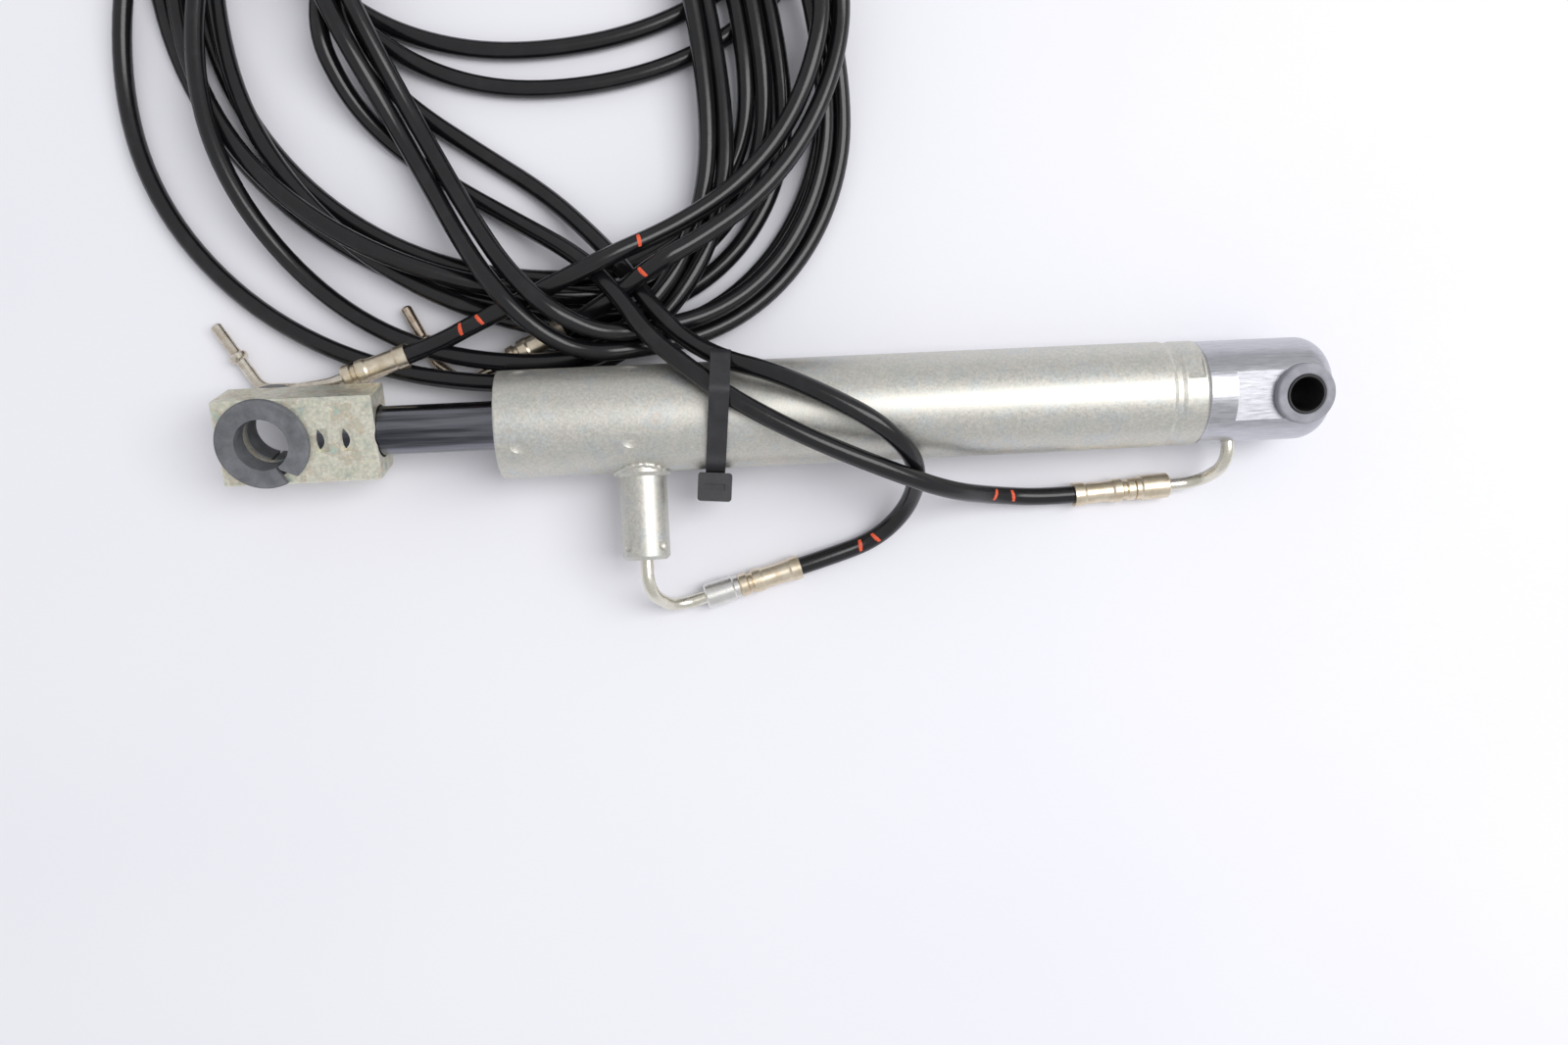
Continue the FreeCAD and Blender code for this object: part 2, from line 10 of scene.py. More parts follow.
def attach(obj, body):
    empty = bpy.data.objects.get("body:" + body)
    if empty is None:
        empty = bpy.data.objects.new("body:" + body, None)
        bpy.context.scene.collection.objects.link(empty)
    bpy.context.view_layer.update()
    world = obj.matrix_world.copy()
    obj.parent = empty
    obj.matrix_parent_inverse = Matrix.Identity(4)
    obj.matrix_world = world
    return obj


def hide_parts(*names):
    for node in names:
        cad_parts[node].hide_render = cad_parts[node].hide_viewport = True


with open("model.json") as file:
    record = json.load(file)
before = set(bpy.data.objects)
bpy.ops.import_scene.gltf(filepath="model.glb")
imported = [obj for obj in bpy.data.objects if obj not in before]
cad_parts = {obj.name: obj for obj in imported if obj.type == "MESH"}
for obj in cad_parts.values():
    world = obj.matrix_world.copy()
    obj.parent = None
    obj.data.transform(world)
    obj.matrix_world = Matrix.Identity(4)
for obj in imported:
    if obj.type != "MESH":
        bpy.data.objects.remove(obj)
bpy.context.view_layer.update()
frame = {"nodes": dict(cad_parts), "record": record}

# Lengths are in millimetres, in the CAD's frame, unless a comment says metres. MM turns them
# into metres.
MM = 0.001

# ---- driving dimensions ----
BARREL_R = 13.25
STRAP_T = 1.2
FLOOR_Z = -BARREL_R - STRAP_T
HOSE_R = 2.3
COLLAR_R = 3.3
SLEEVE_R = 3.1
TAIL_PIPE_R = 1.4
LAID_Z = FLOOR_Z + HOSE_R   # middle of a hose that lies on the floor
CRIMP_Z = FLOOR_Z + COLLAR_R

CAMERA_PLACE = (-148.7, -26.5, 303.25)
CAMERA_TURN = (0.0, -3.68, -3.01)
CAMERA_LENS = 28.0
SENSOR_WIDTH = 36.0
CLIP_START = 0.01           # in metres

# ---- hose routes: the runs that are not coiled, close to their CAD tubes ----
ROD_PORT_LEAD = [
    (-133.0, -41.23, CRIMP_Z), (-117.5, -37.15, CRIMP_Z), (-104.0, -32.9, LAID_Z),
    (-96.0, -24.2, -5.0), (-96.0, -14.6, 9.0), (-105.5, -5.7, 18.4), (-120.5, 2.9, 18.2),
    (-132.0, 8.6, 15.7), (-142.5, 12.1, 12.4), (-152.0, 18.8, 4.5), (-158.6, 26.4, -5.5),
    (-164.3, 35.8, -7.5), (-173.0, 47.0, -10.0), (-185.0, 59.5, LAID_Z),
    (-201.0, 70.5, LAID_Z), (-216.5, 81.5, LAID_Z), (-226.5, 91.0, LAID_Z),
    (-232.0, 104.0, LAID_Z),
]
CAP_PORT_LEAD = [
    (-44.5, -23.9, CRIMP_Z), (-59.0, -24.64, CRIMP_Z), (-74.0, -23.4, -8.0),
    (-89.0, -21.8, 7.0), (-105.0, -16.0, 14.2), (-121.0, -9.0, 16.8), (-134.0, -2.0, 16.9),
    (-144.0, 4.6, 15.9), (-152.5, 12.0, 11.5), (-160.5, 19.6, 1.0), (-166.5, 29.2, -7.3),
    (-175.5, 40.6, -8.5), (-192.0, 52.0, LAID_Z), (-208.0, 62.0, LAID_Z),
    (-223.5, 73.5, LAID_Z), (-233.2, 85.5, LAID_Z), (-238.5, 101.0, LAID_Z),
]
TAIL_A = [
    (-112.5, 104.0, -2.5), (-115.5, 87.0, 0.0), (-123.5, 70.5, 0.0), (-136.0, 57.0, 0.0),
    (-152.0, 47.0, 0.0), (-170.0, 39.0, -0.5), (-188.0, 31.5, -2.5), (-203.0, 25.5, -5.2),
    (-214.3, 21.1, -7.0), (-229.2, 16.34, -6.8),
]
TAIL_B = [
    (-107.2, 104.0, -2.5), (-110.4, 85.4, 0.0), (-119.4, 67.2, 0.0), (-131.8, 53.2, 1.5),
    (-145.5, 43.4, 4.5), (-158.0, 36.2, 0.5), (-172.4, 28.39, -4.41), (-189.0, 20.52, -7.64),
]
TAIL_B_SLEEVE = [(-196.0, 17.2, -9.0), (-180.6, 24.5, -6.0)]
TAIL_B_PIPE = [(-194.2, 18.05, -8.65), (-207.6, 11.7, -11.3), (-214.6, 17.4, LAID_Z),
               (-221.8, 32.0, LAID_Z)]

# ---- the coil: seen from above, each turn runs clockwise through the points given here ----
STEPS = 4                   # points of the spline in each quarter turn

# order: how early the stretch was laid down, so that later ones lie on earlier ones
CAP_HOSE_COIL = [
    dict(order=0, top=(-180, 176), right=(-118, 140), low=(-190, 95.5), left=(-247, 135)),
    dict(order=1, top=(-196, 181), right=(-122, 80), low=(-172, 27.0), left=(-281, 125)),
    dict(order=3, top=(-201, 186), right=(-111, 87), low=(-166, 21.4), left=(-265, 112)),
    dict(order=5, top=(-204, 189), right=(-137.5, 72), low=(-193, 9.6), left=(-289.5, 92)),
    dict(order=7, top=(-198, 188), right=(-107, 78), low=(-167, 16.6)),
]
ROD_HOSE_COIL = [
    dict(order=0, top=(-178, 170), right=(-113, 132), low=(-185, 85.5), left=(-241, 128)),
    dict(order=2, top=(-190, 178), right=(-131.5, 84), low=(-184, 36.5), left=(-270, 121)),
    dict(order=4, top=(-195, 183), right=(-127, 82), low=(-178, 31.8), left=(-275, 114)),
    dict(order=6, top=(-200, 185), right=(-142, 75), low=(-189, 14.4), left=(-268, 93)),
    dict(order=7, top=(-194, 184), right=(-111.6, 79), low=(-163, 21.2)),
]
LEAD_ORDER = 8
TAIL_ORDER = 9
CROSSING_ORDER = 10
LEAD_LANDS_X = -155.0       # where the leads have come down from the barrel
STEEPEST = 0.38             # slope at which a hose climbs over another
LIFT_PASSES = 20
LIFT_SPARE = 1.0            # how far a control point may be raised above the height needed
UNSET_Z = -99.0             # lower than anything in the scene
TIE_LEFT_X = -168.0         # left, far and low limits of the space where the tie holds hoses up
TIE_FAR_Y = 27.0
TIE_LOW_Z = -7.0
# the last turn of each hose, laid down last, from the low side of the coil round to its tail
CAP_HOSE_CROSSING = [(-178, 17.4), (-188, 23.0), (-197.5, 33.5), (-206, 47.5), (-214, 63),
                     (-222, 79), (-230, 95), (-237, 111), (-242, 126), (-238, 145),
                     (-222, 161), (-196, 171), (-166, 168), (-136, 152), (-118, 127)]
ROD_HOSE_CROSSING = [(-173.5, 21.6), (-184, 27.0), (-193.5, 37.0), (-201.5, 50), (-209.5, 65),
                     (-217.5, 81), (-225, 97), (-231, 112), (-235, 127), (-231, 142),
                     (-216, 155), (-192, 164), (-163, 161), (-132, 147), (-112, 124)]

# ---- small details ----
PORT_X = -163.6
WELD_R = 6.3                # radius of the weld round the port stub
BEAD_R = 0.8

DASH_WIDTH = 0.9
DASH_STEPS = 8
DASH_REACH = 38             # degrees that a dash reaches down each side of its hose
DASH_TAPER = 0.25           # how much narrower its ends are
DASH_EDGE_R = HOSE_R - 0.02
DASH_FACE_R = HOSE_R + 0.05
DASH_ROW = ((DASH_EDGE_R, -0.6), (DASH_FACE_R, -0.45), (DASH_FACE_R, 0.45), (DASH_EDGE_R, 0.6))
TOP_BIAS = 0.2              # a dash sits on the stretch nearest to its place, and rather a high one
# hose, place in plan, lean
DASHES = [("cap_hose", (-74.5, -22.0), 0.7), ("cap_hose", (-70.0, -22.8), -0.5),
          ("rod_hose", (-109.6, -34.0), 0.6), ("rod_hose", (-105.4, -32.4), -0.6),
          ("cap_hose", (-205.0, 22.8), 0.5), ("cap_hose", (-200.9, 24.4), -0.6),
          ("cap_hose", (-161.3, 42.0), 0.6), ("rod_hose", (-160.0, 35.6), -0.5)]

# ---- stage, in metres and watts ----
STAGE_MIDDLE = (-0.12, 0.0, 0.0)
TABLE_SIZE = 6.0
TABLE_X = -0.15
KEY_PLACE = (0.42, 0.08, 1.0)
KEY_SIZE = (0.60, 0.95)
KEY_POWER = 7.6
SKY_COLOUR = (0.97, 0.975, 1.0, 1)
SKY_STRENGTH = 0.62


# ---- camera ----
def make_camera():
    data = bpy.data.cameras.new("camera")
    data.lens = CAMERA_LENS
    data.sensor_width = SENSOR_WIDTH
    data.clip_start = CLIP_START
    camera = bpy.data.objects.new("camera", data)
    camera.location = [MM * value for value in CAMERA_PLACE]
    camera.rotation_euler = [math.radians(value) for value in CAMERA_TURN]
    bpy.context.scene.collection.objects.link(camera)
    bpy.context.scene.camera = camera


# ---- hoses ----
def quarter(start, end, from_side):
    """Points of a quarter turn, without its start. from_side says that it starts out along Y."""
    points = []
    for step in range(1, STEPS + 1):
        angle = 0.5 * math.pi * step / STEPS
        if from_side:
            x = end[0] + (start[0] - end[0]) * math.cos(angle)
            y = start[1] + (end[1] - start[1]) * math.sin(angle)
        else:
            x = start[0] + (end[0] - start[0]) * math.sin(angle)
            y = end[1] + (start[1] - end[1]) * math.cos(angle)
        points.append((x, y))
    return points


def coiled_route(lead, turns, crossing, tail):
    """All points of one hose, and for each the order in which its stretch was laid."""
    points = list(lead)
    orders = [LEAD_ORDER] * len(lead)
    last = lead[-1][:2]
    for turn in turns:
        corners = [turn["top"], turn["right"], turn["low"]]
        if "left" in turn:
            corners.append(turn["left"])
        for index, corner in enumerate(corners):
            new = quarter(last, corner, index % 2 == 0)
            points += [(x, y, LAID_Z) for x, y in new]
            orders += [turn["order"]] * len(new)
            last = corner
    points += [(x, y, LAID_Z) for x, y in crossing]
    orders += [CROSSING_ORDER] * len(crossing)
    points += tail
    orders += [TAIL_ORDER] * len(tail)
    return points, orders


def nurbs(name, points, depth=0.0):
    """Open NURBS curve shaped by control points in millimetres, as an object."""
    data = bpy.data.curves.new(name, "CURVE")
    data.dimensions = "3D"
    data.resolution_u = 8
    data.bevel_depth = depth * MM
    data.bevel_resolution = 6
    data.use_fill_caps = True
    spline = data.splines.new("NURBS")
    spline.points.add(len(points) - 1)
    for point, place in zip(spline.points, points):
        point.co = (*[MM * value for value in place], 1.0)
    spline.order_u = 3
    spline.use_endpoint_u = True
    return bpy.data.objects.new(name, data)


def line_of(points):
    """The smooth line that a hose follows: points read from its NURBS spline, in millimetres."""
    probe = nurbs("probe", points)
    mesh = bpy.data.meshes.new_from_object(probe)
    line = np.array([vertex.co for vertex in mesh.vertices]) / MM
    curve = probe.data
    bpy.data.objects.remove(probe)
    bpy.data.curves.remove(curve)
    bpy.data.meshes.remove(mesh)
    return line


def straight_bar(start, end, radius):
    """Points 1 mm apart along a pipe or sleeve, and its radius at each."""
    start, end = np.array(start), np.array(end)
    count = int(np.linalg.norm(end - start)) + 2
    return [(*(start + (end - start) * step / (count - 1)), radius) for step in range(count)]


class Strand:
    """One hose while it is laid: its control points and the samples of its smooth line."""

    def __init__(self, points, orders):
        self.points = points
        self.height = np.array([point[2] for point in points])
        self.line = line_of(points)
        # each sample lies between three control points, with a share of each in its height
        along = np.linspace(0, len(points) - 2, len(self.line))
        self.first = np.minimum(along.astype(int), len(points) - 3)
        share = (along - self.first)[:, None]
        self.weight = np.hstack([0.5 * (1 - share) ** 2, 0.5 + share * (1 - share),
                                 0.5 * share ** 2])
        self.orders = np.array(orders)
        self.order = self.orders[self.first + 1]
        # the runs over the barrel and into the far sleeve stay where they are
        self.movable = np.array([
            not (order == LEAD_ORDER and point[0] > LEAD_LANDS_X) for point, order
            in zip(points, orders)])
        self.movable[-2:] = False

    def refresh(self):
        shaping = self.height[self.first[:, None] + np.arange(3)]
        self.line[:, 2] = (self.weight * shaping).sum(1)

    def lift(self, samples, needed, order):
        """Raise this stretch's control points towards the heights needed to clear what is below.

        They are raised no further than LIFT_SPARE above those heights, and some of them are
        fixed, so a stretch can stay too low and cut into the one below it.
        """
        free = self.movable & (self.orders == order)
        highest = np.full(len(self.height), UNSET_Z)
        for place in range(3):
            np.maximum.at(highest, self.first[samples] + place, needed + LIFT_SPARE)
        for _ in range(LIFT_PASSES):
            short = needed - self.line[samples, 2]
            rise = np.zeros(len(self.height))
            for place in range(3):
                np.maximum.at(rise, self.first[samples] + place,
                              self.weight[samples, place] * short)
            raised = np.minimum(self.height + rise, np.maximum(highest, self.height))
            self.height = np.where(free, raised, self.height)
            self.refresh()
        self.ease(np.where(free)[0])

    def ease(self, points):
        """Make humps long and low: raise points whose neighbour stands steeply above them."""
        for run, back in ((points, 1), (points[::-1], -1)):
            for index in run:
                before = index - back
                if 0 <= before < len(self.height):
                    gap = math.dist(self.points[index][:2], self.points[before][:2])
                    self.height[index] = max(self.height[index],
                                             self.height[before] - STEEPEST * gap)
        self.refresh()

    def route(self):
        return [(x, y, z) for (x, y, _), z in zip(self.points, self.height)]


def height_over(line, below):
    """How high the middle of a hose must be at each sample to lie on what is below it."""
    gap = np.hypot(line[:, None, 0] - below[None, :, 0], line[:, None, 1] - below[None, :, 1])
    reach = HOSE_R + below[None, :, 3]
    rest = below[None, :, 2] + np.sqrt(np.maximum(reach ** 2 - gap ** 2, 0))
    return np.where(gap < reach, rest, FLOOR_Z).max(1)


def lay_down(strands):
    """Raise the hoses, one stretch after another, onto what was laid before them."""
    pipe = []
    for start, end in zip(TAIL_B_PIPE, TAIL_B_PIPE[1:]):
        pipe += straight_bar(start, end, TAIL_PIPE_R)
    sleeve = straight_bar(*TAIL_B_SLEEVE, SLEEVE_R)
    below = np.array(pipe)
    for order in range(CROSSING_ORDER + 1):
        if order == CROSSING_ORDER:
            below = np.concatenate([below, sleeve])
        for strand in strands:
            samples = np.where(strand.order == order)[0]
            if not len(samples):
                continue
            under = below
            if order not in (LEAD_ORDER, TAIL_ORDER):
                # these stretches run below the hoses that the tie holds up, not over them
                held_up = ((below[:, 0] > TIE_LEFT_X) & (below[:, 1] < TIE_FAR_Y)
                           & (below[:, 2] > TIE_LOW_Z))
                under = below[~held_up]
            strand.lift(samples, height_over(strand.line[samples], under), order)
            placed = strand.line[samples]
            below = np.concatenate([below, np.column_stack([placed,
                                                            np.full(len(placed), HOSE_R)])])


def make_hose(name, route, nodes):
    """One hose as a round NURBS curve that stands for its CAD solids."""
    hose = nurbs(name, route, HOSE_R)
    bpy.context.scene.collection.objects.link(hose)
    hose.data.materials.append(MATERIALS["hose_black"])
    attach(hose, "barrel")
    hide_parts(*nodes)
    line = line_of(route)
    return line


# ---- materials ----
OPEN_FACE_DOT = 0.985       # how alike the bevelled and the true normal are on an open face
WORN_EDGE_DOT = 0.88
DULL_ZINC = (0.33, 0.34, 0.32)
DIRT = (0.16, 0.15, 0.13)
BARE_STEEL = (0.86, 0.84, 0.78)
BARE_ALUMINIUM = (0.85, 0.85, 0.88)
DULL_ALUMINIUM = (0.36, 0.36, 0.39)


class Shader:
    """A Principled material whose inputs are fed by procedural texture nodes."""

    def __init__(self, name, metallic, stretch=(1, 1, 1)):
        self.material = bpy.data.materials.new(name)
        self.material.use_nodes = True
        self.nodes = self.material.node_tree.nodes
        self.links = self.material.node_tree.links
        self.surface = self.nodes["Principled BSDF"]
        self.surface.inputs["Metallic"].default_value = metallic
        place = self.nodes.new("ShaderNodeTexCoord")
        mapping = self.nodes.new("ShaderNodeMapping")
        mapping.inputs["Scale"].default_value = stretch
        self.links.new(place.outputs["Object"], mapping.inputs["Vector"])
        self.place = mapping.outputs["Vector"]

    def noise(self, size_mm, detail=3.0, roughness=0.55, seed=0.0):
        """Noise in one value, with features about size_mm across."""
        node = self.nodes.new("ShaderNodeTexNoise")
        node.noise_dimensions = "4D"
        node.inputs["W"].default_value = seed
        node.inputs["Scale"].default_value = 1 / (MM * size_mm)
        node.inputs["Detail"].default_value = detail
        node.inputs["Roughness"].default_value = roughness
        self.links.new(self.place, node.inputs["Vector"])
        return node.outputs["Fac"]

    def ramp(self, value, stops):
        """Colours along a value. stops are (position, (red, green, blue))."""
        node = self.nodes.new("ShaderNodeValToRGB")
        marks = node.color_ramp.elements
        while len(marks) < len(stops):
            marks.new(0.5)
        for mark, (position, colour) in zip(marks, stops):
            mark.position = position
            mark.color = (*colour, 1)
        self.links.new(value, node.inputs["Fac"])
        return node.outputs["Color"]

    def mix(self, share, first, second, blend="MIX"):
        node = self.nodes.new("ShaderNodeMix")
        node.data_type = "RGBA"
        node.blend_type = blend
        node.clamp_factor = True
        for socket, value in ((node.inputs["Factor"], share), (node.inputs["A"], first),
                              (node.inputs["B"], second)):
            if isinstance(value, bpy.types.NodeSocket):
                self.links.new(value, socket)
            elif isinstance(value, tuple):
                socket.default_value = (*value, 1)
            else:
                socket.default_value = value
        return node.outputs["Result"]

    def spread(self, value, low, high, low_out, high_out):
        """Map a value from low...high to low_out...high_out."""
        node = self.nodes.new("ShaderNodeMapRange")
        for socket, number in zip(node.inputs[1:5], (low, high, low_out, high_out)):
            socket.default_value = number
        self.links.new(value, node.inputs["Value"])
        return node.outputs["Result"]

    def edges(self, width_mm):
        """1 along worn edges, 0 on open faces."""
        bevel = self.nodes.new("ShaderNodeBevel")
        bevel.inputs["Radius"].default_value = MM * width_mm
        geometry = self.nodes.new("ShaderNodeNewGeometry")
        dot = self.nodes.new("ShaderNodeVectorMath")
        dot.operation = "DOT_PRODUCT"
        self.links.new(bevel.outputs["Normal"], dot.inputs[0])
        self.links.new(geometry.outputs["Normal"], dot.inputs[1])
        return self.spread(dot.outputs["Value"], OPEN_FACE_DOT, WORN_EDGE_DOT, 0.0, 1.0)

    def bump(self, value, height_mm, strength=1.0):
        node = self.nodes.new("ShaderNodeBump")
        node.inputs["Strength"].default_value = strength
        node.inputs["Distance"].default_value = MM * height_mm
        self.links.new(value, node.inputs["Height"])
        if self.surface.inputs["Normal"].is_linked:
            self.links.new(self.surface.inputs["Normal"].links[0].from_socket,
                           node.inputs["Normal"])
        self.links.new(node.outputs["Normal"], self.surface.inputs["Normal"])

    def feed(self, socket, value):
        if isinstance(value, bpy.types.NodeSocket):
            self.links.new(value, self.surface.inputs[socket])
        else:
            self.surface.inputs[socket].default_value = value


def plated_steel(name, tints, rough, grain_mm=0.7, patch_mm=9.0, wear=0.0, soil=0.25):
    """Zinc-plated steel: drifting passivation tints, crystal grain, dull spots, worn edges."""
    look = Shader(name, 0.8)
    patch = look.noise(patch_mm, 3.0, 0.6, seed=3.0)
    colour = look.ramp(patch, tints)
    grain = look.noise(grain_mm, 2.0, 0.7, seed=8.0)
    speck = look.spread(grain, 0.35, 0.7, 0.0, 1.0)
    colour = look.mix(speck, look.mix(0.42, colour, DULL_ZINC), colour)
    dirt = look.spread(look.noise(2.6, 6.0, 0.75, seed=21.0), 0.60, 0.74, 0.0, soil)
    colour = look.mix(dirt, colour, DIRT)
    if wear:
        colour = look.mix(look.spread(look.edges(wear), 0, 1, 0, 0.7), colour, BARE_STEEL)
    look.feed("Base Color", colour)
    look.feed("Roughness", look.spread(grain, 0.3, 0.7, rough - 0.06, rough + 0.1))
    look.bump(grain, 0.02)
    look.bump(look.noise(14.0, 2.0, 0.5, seed=5.0), 0.05, 0.4)
    return look.material


def brushed_aluminium():
    look = Shader("cap_aluminium", 1.0, stretch=(0.12, 1, 1))
    lines = look.noise(0.5, 3.0, 0.6, seed=2.0)
    cloud = look.noise(6.0, 3.0, 0.6, seed=4.0)
    colour = look.ramp(lines, [(0.25, (0.44, 0.44, 0.47)), (0.75, (0.66, 0.66, 0.70))])
    colour = look.mix(look.spread(cloud, 0.45, 0.75, 0.0, 0.45), colour, DULL_ALUMINIUM)
    colour = look.mix(look.spread(look.edges(0.35), 0, 1, 0, 0.6), colour, BARE_ALUMINIUM)
    look.feed("Base Color", colour)
    look.feed("Roughness", look.spread(lines, 0.3, 0.7, 0.27, 0.42))
    look.bump(lines, 0.02)
    return look.material


def drawn_metal(name, pale, deep, rough, grain_mm=0.3):
    """Drawn or turned metal of pipes, collars and sleeves, tarnished in patches."""
    look = Shader(name, 1.0)
    cloud = look.noise(3.0, 4.0, 0.65, seed=6.0)
    grain = look.noise(grain_mm, 2.0, 0.6, seed=1.0)
    colour = look.ramp(cloud, [(0.32, deep), (0.62, pale)])
    colour = look.mix(look.spread(grain, 0.62, 0.8, 0.0, 0.3), colour,
                      tuple(0.45 * channel for channel in deep))
    look.feed("Base Color", colour)
    look.feed("Roughness", look.spread(grain, 0.3, 0.7, rough - 0.05, rough + 0.1))
    look.bump(grain, 0.006)
    return look.material


def polished_rod():
    look = Shader("rod_black", 1.0, stretch=(0.05, 1, 1))
    lines = look.noise(0.6, 3.0, 0.6, seed=2.0)
    cloud = look.noise(2.2, 3.0, 0.6, seed=9.0)
    # base colour: dark steel tone, with lighter streaks along the rod painted in as highlight streaks
    look.feed("Base Color", look.ramp(cloud, [(0.38, (0.045, 0.047, 0.058)),
                                              (0.62, (0.200, 0.205, 0.230))]))
    look.feed("Roughness", look.spread(lines, 0.3, 0.7, 0.17, 0.28))
    look.feed("Coat Weight", 0.35)
    look.surface.inputs["Coat Roughness"].default_value = 0.12
    look.bump(lines, 0.004)
    return look.material


def rubber(name, pale, deep, rough, grain_mm=0.35, chips=0.0):
    """Moulded rubber or plastic with a fine skin, chalky where it has been rubbed."""
    look = Shader(name, 0.0)
    cloud = look.noise(4.0, 4.0, 0.6, seed=7.0)
    grain = look.noise(grain_mm, 3.0, 0.6, seed=12.0)
    colour = look.ramp(cloud, [(0.35, deep), (0.65, pale)])
    if chips:
        colour = look.mix(look.spread(grain, 0.60, 0.72, 0.0, chips), colour,
                          tuple(0.5 * channel for channel in deep))
    look.feed("Base Color", colour)
    look.feed("Roughness", look.spread(grain, 0.3, 0.7, rough - 0.07, rough + 0.07))
    look.bump(grain, 0.03)
    return look.material


def hose_cover():
    """Smooth extruded cover: deep black, satin, slightly uneven, with patches of dust."""
    look = Shader("hose_black", 0.0)
    dust = look.noise(7.0, 5.0, 0.7, seed=17.0)
    grain = look.noise(0.5, 3.0, 0.6, seed=11.0)
    colour = look.mix(look.spread(dust, 0.50, 0.80, 0.0, 0.55), (0.006, 0.006, 0.007),
                      (0.026, 0.026, 0.028))
    look.feed("Base Color", colour)
    look.feed("Roughness", look.spread(grain, 0.3, 0.7, 0.15, 0.25))
    look.bump(grain, 0.006)
    look.bump(look.noise(5.0, 2.0, 0.5, seed=14.0), 0.05, 0.5)
    return look.material


def paint_mark():
    look = Shader("mark_red", 0.0)
    grain = look.noise(0.4, 3.0, 0.6, seed=3.0)
    look.feed("Base Color", look.ramp(grain, [(0.35, (0.70, 0.06, 0.02)), (0.6, (0.86, 0.13, 0.05))]))
    look.feed("Roughness", look.spread(grain, 0.3, 0.7, 0.45, 0.6))
    return look.material


def table_top():
    look = Shader("table_top", 0.0)
    cloud = look.noise(160.0, 2.0, 0.5, seed=1.0)
    grain = look.noise(1.2, 3.0, 0.6, seed=2.0)
    look.feed("Base Color", look.ramp(cloud, [(0.3, (0.86, 0.86, 0.915)), (0.7, (0.90, 0.895, 0.94))]))
    look.feed("Roughness", look.spread(grain, 0.3, 0.7, 0.55, 0.68))
    look.bump(grain, 0.01)
    return look.material


BARREL_TINTS = [(0.30, (0.66, 0.68, 0.65)), (0.42, (0.70, 0.69, 0.63)), (0.52, (0.74, 0.71, 0.64)),
                (0.62, (0.67, 0.69, 0.67)), (0.72, (0.73, 0.67, 0.60))]
BLOCK_TINTS = [(0.30, (0.48, 0.60, 0.58)), (0.40, (0.84, 0.83, 0.66)), (0.50, (0.92, 0.90, 0.76)),
               (0.58, (0.80, 0.70, 0.54)), (0.68, (0.62, 0.76, 0.64))]
MATERIALS = {
    "zinc_steel": plated_steel("zinc_steel", BARREL_TINTS, 0.42, 0.55, 7.0),
    "block_steel": plated_steel("block_steel", BLOCK_TINTS, 0.42, 0.9, 4.5, wear=0.4, soil=0.5),
    "cap_aluminium": brushed_aluminium(),
    "cap_bush": rubber("cap_bush", (0.36, 0.36, 0.40), (0.25, 0.25, 0.28), 0.62, chips=0.3),
    "pipe_steel": drawn_metal("pipe_steel", (0.82, 0.79, 0.70), (0.70, 0.67, 0.56), 0.27),
    "collar_steel": drawn_metal("collar_steel", (0.82, 0.81, 0.78), (0.70, 0.69, 0.66), 0.30),
    "crimp_gold": drawn_metal("crimp_gold", (0.84, 0.75, 0.60), (0.66, 0.55, 0.40), 0.32),
    "tail_bronze": drawn_metal("tail_bronze", (0.66, 0.57, 0.46), (0.40, 0.31, 0.23), 0.26),
    "rod_black": polished_rod(),
    "liner_black": rubber("liner_black", (0.022, 0.022, 0.024), (0.012, 0.012, 0.013), 0.5),
    "bearing_bronze": drawn_metal("bearing_bronze", (0.60, 0.42, 0.20), (0.42, 0.27, 0.12), 0.35),
    "seal_rubber": rubber("seal_rubber", (0.035, 0.035, 0.037), (0.02, 0.02, 0.021), 0.55),
    "eye_rubber": rubber("eye_rubber", (0.185, 0.19, 0.205), (0.11, 0.115, 0.125), 0.72, 0.5, 0.5),
    "nylon_black": rubber("nylon_black", (0.030, 0.030, 0.034), (0.018, 0.018, 0.021), 0.38, 0.8),
    "hose_black": hose_cover(),
}
# nodes that look different from the others in their slot
NODE_MATERIALS = {
    "tail_a_pipe": drawn_metal("pale_bronze", (0.80, 0.75, 0.66), (0.56, 0.47, 0.36), 0.26),
}


def dress_nodes():
    """Give every CAD node its own material, or the material of its slot."""
    for subpart in frame["record"]["subparts"]:
        node = frame["nodes"][subpart["node"]]
        material = NODE_MATERIALS.get(subpart["node"], MATERIALS[subpart["material_slot"]])
        if not node.material_slots:
            node.data.materials.append(material)
        for holder in node.material_slots:
            holder.material = material


# ---- small pieces ----
def mesh_piece(name, mesh_maker, material):
    grid = bmesh.new()
    mesh_maker(grid)
    bmesh.ops.recalc_face_normals(grid, faces=grid.faces)
    data = bpy.data.meshes.new(name)
    grid.to_mesh(data)
    grid.free()
    data.transform(Matrix.Scale(MM, 4))
    for face in data.polygons:
        face.use_smooth = True
    piece = bpy.data.objects.new(name, data)
    bpy.context.scene.collection.objects.link(piece)
    data.materials.append(material)
    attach(piece, "barrel")
    return piece


def rings_to_tube(grid, rings):
    """Faces between rings of vertices, the last ring joined to the first."""
    for one, two in zip(rings, rings[1:] + rings[:1]):
        for index in range(len(one)):
            after = (index + 1) % len(one)
            grid.faces.new((one[index], one[after], two[after], two[index]))


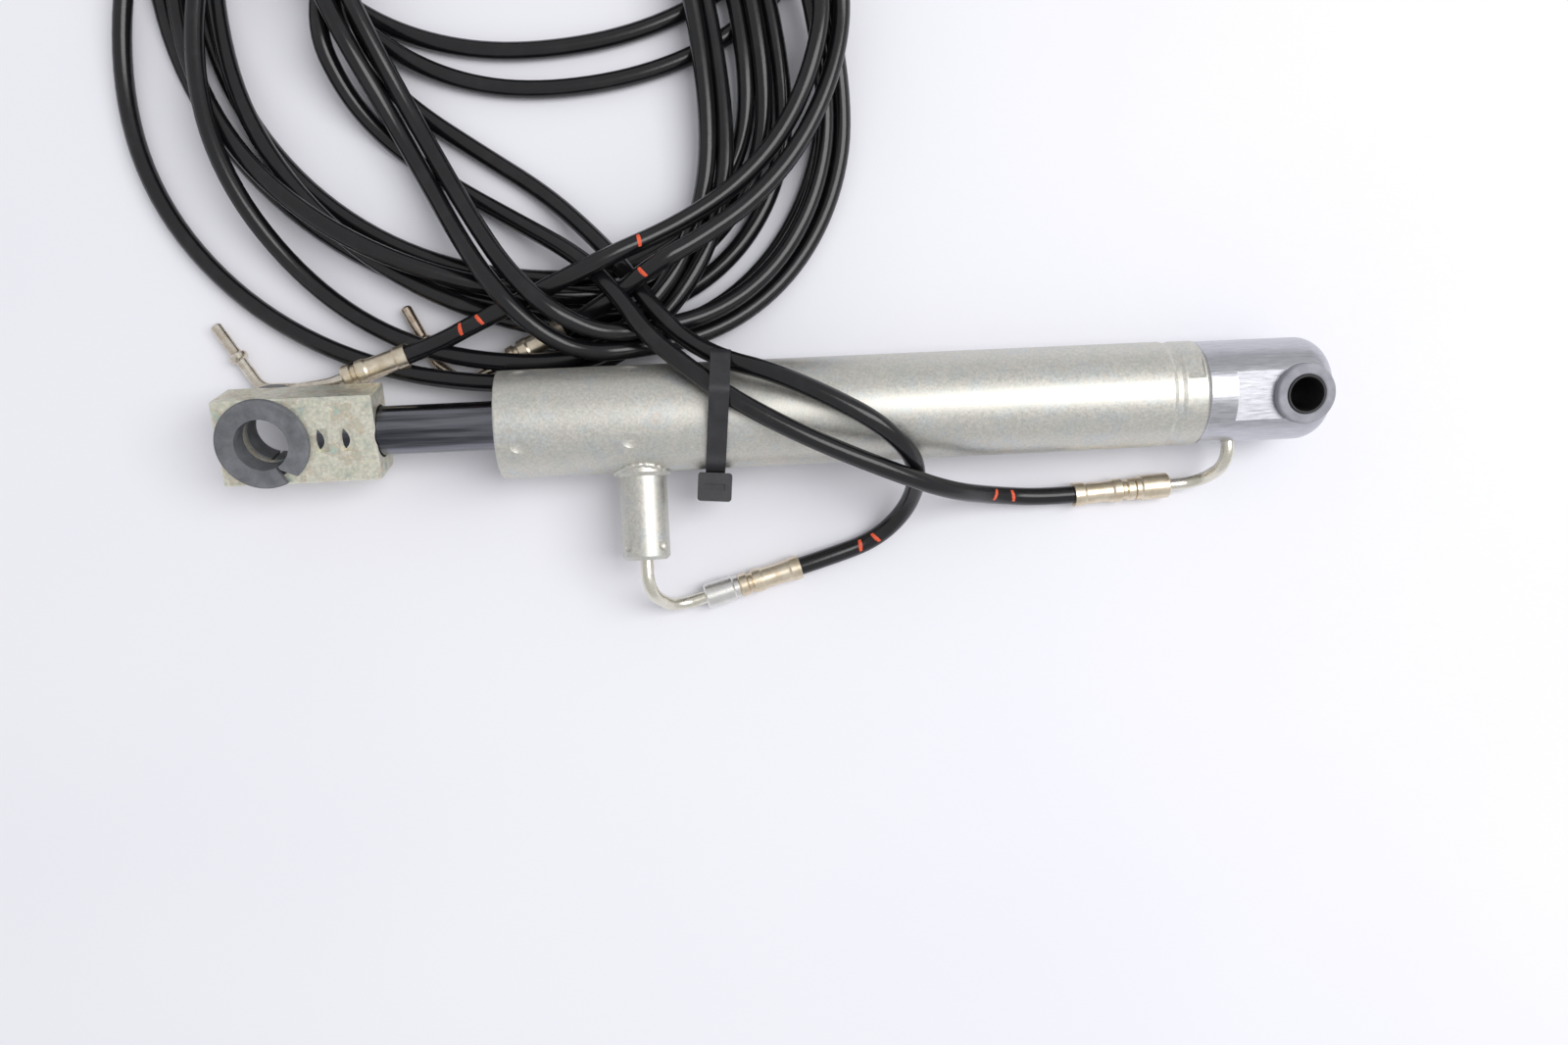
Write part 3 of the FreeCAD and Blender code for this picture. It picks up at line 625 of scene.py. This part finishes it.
def weld_bead(grid):
    """Rippled bead where the port stub is welded to the round barrel."""
    steps = 144
    sides = 10
    ripples = 24
    ripple_share = 0.10
    waves = 7
    wave_share = 0.05
    rings = []
    for step in range(steps):
        angle = 2 * math.pi * step / steps
        ripple = 1 + ripple_share * math.sin(ripples * angle) + wave_share * math.sin(waves * angle)
        outward = Vector((math.cos(angle), 0, math.sin(angle)))
        z = WELD_R * outward.z
        seat = Vector((PORT_X + WELD_R * outward.x, -math.sqrt(BARREL_R ** 2 - z ** 2), z))
        ring = []
        for side in range(sides):
            turn = 2 * math.pi * side / sides
            offset = outward * math.cos(turn) + Vector((0, -1, 0)) * math.sin(turn)
            ring.append(grid.verts.new(seat + BEAD_R * ripple * offset))
        rings.append(ring)
    rings_to_tube(grid, rings)


def dash_maker(line, place, lean):
    """A painted dash on top of a hose, near a place in plan."""
    def make(grid):
        on_top = np.hypot(line[:, 0] - place[0], line[:, 1] - place[1]) - TOP_BIAS * line[:, 2]
        index = int(on_top.argmin())
        middle = Vector(line[index])
        along = (Vector(line[index + 1]) - Vector(line[index - 1])).normalized()
        side = Vector((0, 0, 1)).cross(along).normalized()
        up = along.cross(side)
        rows = []
        for step in range(DASH_STEPS + 1):
            turn = math.radians(-DASH_REACH + 2 * DASH_REACH * step / DASH_STEPS)
            bulge = math.sin(math.pi * step / DASH_STEPS)
            width = DASH_WIDTH * (1 - DASH_TAPER + DASH_TAPER * bulge)
            shift = lean * math.sin(turn)
            arm = up * math.cos(turn) + side * math.sin(turn)
            rows.append([grid.verts.new(middle + arm * radius + along * (shift + edge * width))
                         for radius, edge in DASH_ROW])
        for one, two in zip(rows, rows[1:]):
            for index in range(3):
                grid.faces.new((one[index], one[index + 1], two[index + 1], two[index]))
    return make


def make_marks(lines):
    """Short red dashes in place of hand-written numbers, all in one paint."""
    paint = paint_mark()
    for number, (hose, place, lean) in enumerate(DASHES):
        mesh_piece("mark_%d" % number, dash_maker(lines[hose], place, lean), paint)


# ---- stage ----
def make_floor():
    bpy.ops.mesh.primitive_plane_add(size=TABLE_SIZE, location=(TABLE_X, 0, MM * FLOOR_Z))
    floor = bpy.context.object
    floor.name = "floor"
    floor.data.materials.append(table_top())


def area_light(name, place, size, power, aim):
    data = bpy.data.lights.new(name, "AREA")
    data.shape = "RECTANGLE"
    data.size, data.size_y = size
    data.energy = power
    light = bpy.data.objects.new(name, data)
    light.location = place
    light.rotation_euler = (Vector(aim) - Vector(place)).to_track_quat("-Z", "Y").to_euler()
    bpy.context.scene.collection.objects.link(light)


def make_lights():
    area_light("key", KEY_PLACE, KEY_SIZE, KEY_POWER, STAGE_MIDDLE)
    world = bpy.data.worlds.new("studio")
    bpy.context.scene.world = world
    world.use_nodes = True
    sky = world.node_tree.nodes["Background"]
    sky.inputs["Color"].default_value = SKY_COLOUR
    sky.inputs["Strength"].default_value = SKY_STRENGTH
    bpy.context.scene.view_settings.view_transform = "Standard"


make_camera()
cap_strand = Strand(*coiled_route(CAP_PORT_LEAD, CAP_HOSE_COIL, CAP_HOSE_CROSSING, TAIL_A))
rod_strand = Strand(*coiled_route(ROD_PORT_LEAD, ROD_HOSE_COIL, ROD_HOSE_CROSSING, TAIL_B))
lay_down([cap_strand, rod_strand])
cap_line = make_hose("cap_hose", cap_strand.route(), ["cap_port_hose", "tail_a_hose", "hose_coil"])
rod_line = make_hose("rod_hose", rod_strand.route(), ["rod_port_hose", "tail_b_hose", "hose_coil"])
dress_nodes()
mesh_piece("port_weld", weld_bead, MATERIALS["zinc_steel"])
make_marks({"cap_hose": cap_line, "rod_hose": rod_line})
make_floor()
make_lights()
